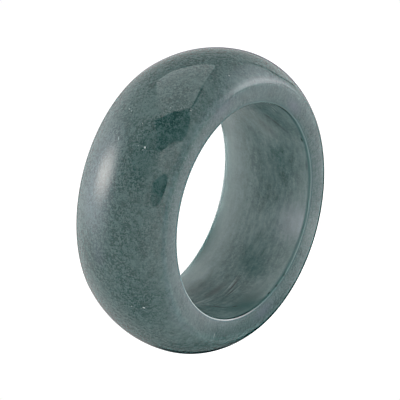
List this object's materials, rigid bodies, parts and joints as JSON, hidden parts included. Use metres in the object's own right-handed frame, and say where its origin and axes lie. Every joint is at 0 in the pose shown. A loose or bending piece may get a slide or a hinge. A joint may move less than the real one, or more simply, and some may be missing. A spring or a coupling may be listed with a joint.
{
  "type": "jade band ring",
  "caption": "Plain polished jade band ring with a straight round finger hole, flat side faces and a low domed outside.",
  "frame": {"origin": "centre of the lower side face, on the axis of the finger hole, where the ring lies on its side", "axes": "+Z along the finger hole, out of the upper side face; +X and +Y across the band, anywhere round it"},
  "size_m": [0.0256, 0.0256, 0.0091],
  "materials": {
    "polished_jade": "polished"
  },
  "bodies": {
    "root": {"band_ring": "polished_jade"}
  },
  "joints": []
}
